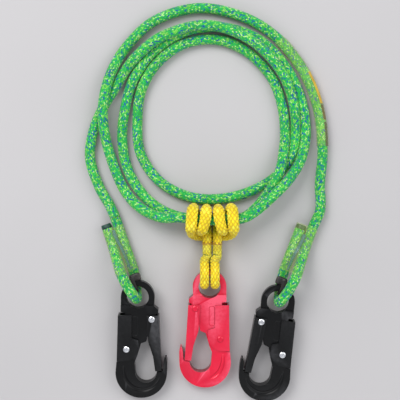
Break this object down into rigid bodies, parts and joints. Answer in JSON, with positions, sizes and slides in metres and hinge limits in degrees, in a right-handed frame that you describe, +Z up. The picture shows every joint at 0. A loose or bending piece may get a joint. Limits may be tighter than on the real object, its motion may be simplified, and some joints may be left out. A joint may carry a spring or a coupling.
{
  "type": "rope positioning lanyard",
  "caption": "Loosely coiled braided rope lanyard with sewn eyes, a double-locking snap hook at each end and a sliding friction hitch that carries a further snap hook.",
  "frame": {"origin": "on the table, under the middle of the box round the hooks, sewn eyes and hitch", "axes": "+X to the right hook's side, +Y from the hooks to the far side of the rope coil, +Z up from the table"},
  "size_m": [0.2765, 0.4542, 0.0479],
  "materials": {
    "rope_braid": "braided polyester, green with lime and blue flecks",
    "hitch_cord_yellow": "braided yellow cord, slightly glossy",
    "red_coat": "red anodised",
    "black_coat": "satin black coating over forged metal",
    "rivet_steel": "bright",
    "spring_steel": "bright drawn wire",
    "thimble_black": "black moulded",
    "stitching_teal": "close zigzag stitching",
    "clear_sleeve": "clear heat-shrink plastic",
    "tail_seal": "dark sealed rope end",
    "label_yellow": "printed wrap label, left blank"
  },
  "bodies": {
    "lanyard": {"main_rope": "rope_braid", "identification_label": "label_yellow", "label_sleeve": "clear_sleeve", "left_eye_rope": "rope_braid", "left_thimble": "thimble_black", "left_stitching": "stitching_teal", "left_eye_sleeve": "clear_sleeve", "left_tail_seal": "tail_seal", "right_eye_rope": "rope_braid", "right_thimble": "thimble_black", "right_stitching": "stitching_teal", "right_eye_sleeve": "clear_sleeve", "right_tail_seal": "tail_seal"},
    "hitch": {"hitch_cord": "hitch_cord_yellow", "hitch_left_eye": "hitch_cord_yellow", "hitch_right_eye": "hitch_cord_yellow"},
    "left_hook": {"left_hook_body": "black_coat", "left_gate_rivet": "rivet_steel", "left_lever_rivet": "rivet_steel"},
    "left_gate_part": {"left_gate": "black_coat", "left_gate_spring": "spring_steel"},
    "left_lever_part": {"left_lock_lever": "black_coat", "left_lever_spring": "spring_steel"},
    "middle_hook": {"middle_hook_body": "red_coat", "middle_gate_rivet": "red_coat", "middle_lever_rivet": "red_coat"},
    "middle_gate_part": {"middle_gate": "red_coat", "middle_gate_spring": "spring_steel"},
    "middle_lever_part": {"middle_lock_lever": "red_coat", "middle_lever_spring": "spring_steel"},
    "right_hook": {"right_hook_body": "black_coat", "right_gate_rivet": "rivet_steel", "right_lever_rivet": "rivet_steel"},
    "right_gate_part": {"right_gate": "black_coat", "right_gate_spring": "spring_steel"},
    "right_lever_part": {"right_lock_lever": "black_coat", "right_lever_spring": "spring_steel"}
  },
  "joints": [
    {"name": "hitch_slide", "type": "slide", "parent": "lanyard", "child": "hitch", "axis": [1, 0, 0], "range_m": [-0.004, 0.004]},
    {"name": "left_hook_swing", "type": "hinge", "parent": "lanyard", "child": "left_hook", "pos_m": [-0.0817, 0.007, 0.01834], "axis": [-0.0019, -0.1062, 0.9943], "range_deg": [-35, 7]},
    {"name": "left_gate_swing", "type": "hinge", "parent": "left_hook", "child": "left_gate_part", "pos_m": [-0.06592, -0.01734, 0.01577], "axis": [0.0019, 0.1062, -0.9943], "range_deg": [0, 20], "stiffness_Nm_per_rad": 0.05, "springref_deg": -17.19},
    {"name": "left_lever_swing", "type": "hinge", "parent": "left_hook", "child": "left_lever_part", "pos_m": [-0.09473, -0.05165, 0.01205], "axis": [0.0019, 0.1062, -0.9943], "range_deg": [0, 6], "stiffness_Nm_per_rad": 0.05, "springref_deg": -17.19},
    {"name": "middle_hook_lift", "type": "hinge", "parent": "hitch", "child": "middle_hook", "pos_m": [-0.0007, 0.03461, 0.02004], "axis": [-1, 0, 0], "range_deg": [0, 20]},
    {"name": "middle_gate_swing", "type": "hinge", "parent": "middle_hook", "child": "middle_gate_part", "pos_m": [-0.0169, -0.00536, 0.01577], "axis": [0, -0.1063, 0.9943], "range_deg": [0, 20], "stiffness_Nm_per_rad": 0.05, "springref_deg": -17.19},
    {"name": "middle_lever_swing", "type": "hinge", "parent": "middle_hook", "child": "middle_lever_part", "pos_m": [0.0113, -0.04016, 0.01205], "axis": [0, -0.1063, 0.9943], "range_deg": [0, 6], "stiffness_Nm_per_rad": 0.05, "springref_deg": -17.19},
    {"name": "right_hook_swing", "type": "hinge", "parent": "lanyard", "child": "right_hook", "pos_m": [0.0765, 0.0019, 0.01834], "axis": [-0.012, -0.1056, 0.9943], "range_deg": [-2, 40]},
    {"name": "right_gate_swing", "type": "hinge", "parent": "right_hook", "child": "right_gate_part", "pos_m": [0.05768, -0.02017, 0.01577], "axis": [-0.012, -0.1056, 0.9943], "range_deg": [0, 20], "stiffness_Nm_per_rad": 0.05, "springref_deg": -17.19},
    {"name": "right_lever_swing", "type": "hinge", "parent": "right_hook", "child": "right_lever_part", "pos_m": [0.08176, -0.05794, 0.01205], "axis": [-0.012, -0.1056, 0.9943], "range_deg": [0, 6], "stiffness_Nm_per_rad": 0.05, "springref_deg": -17.19}
  ],
  "couplings": [
    {"joint": "left_lever_swing", "follows": "left_gate_swing", "ratio": 0.3},
    {"joint": "middle_lever_swing", "follows": "middle_gate_swing", "ratio": 0.3},
    {"joint": "right_lever_swing", "follows": "right_gate_swing", "ratio": 0.3}
  ]
}
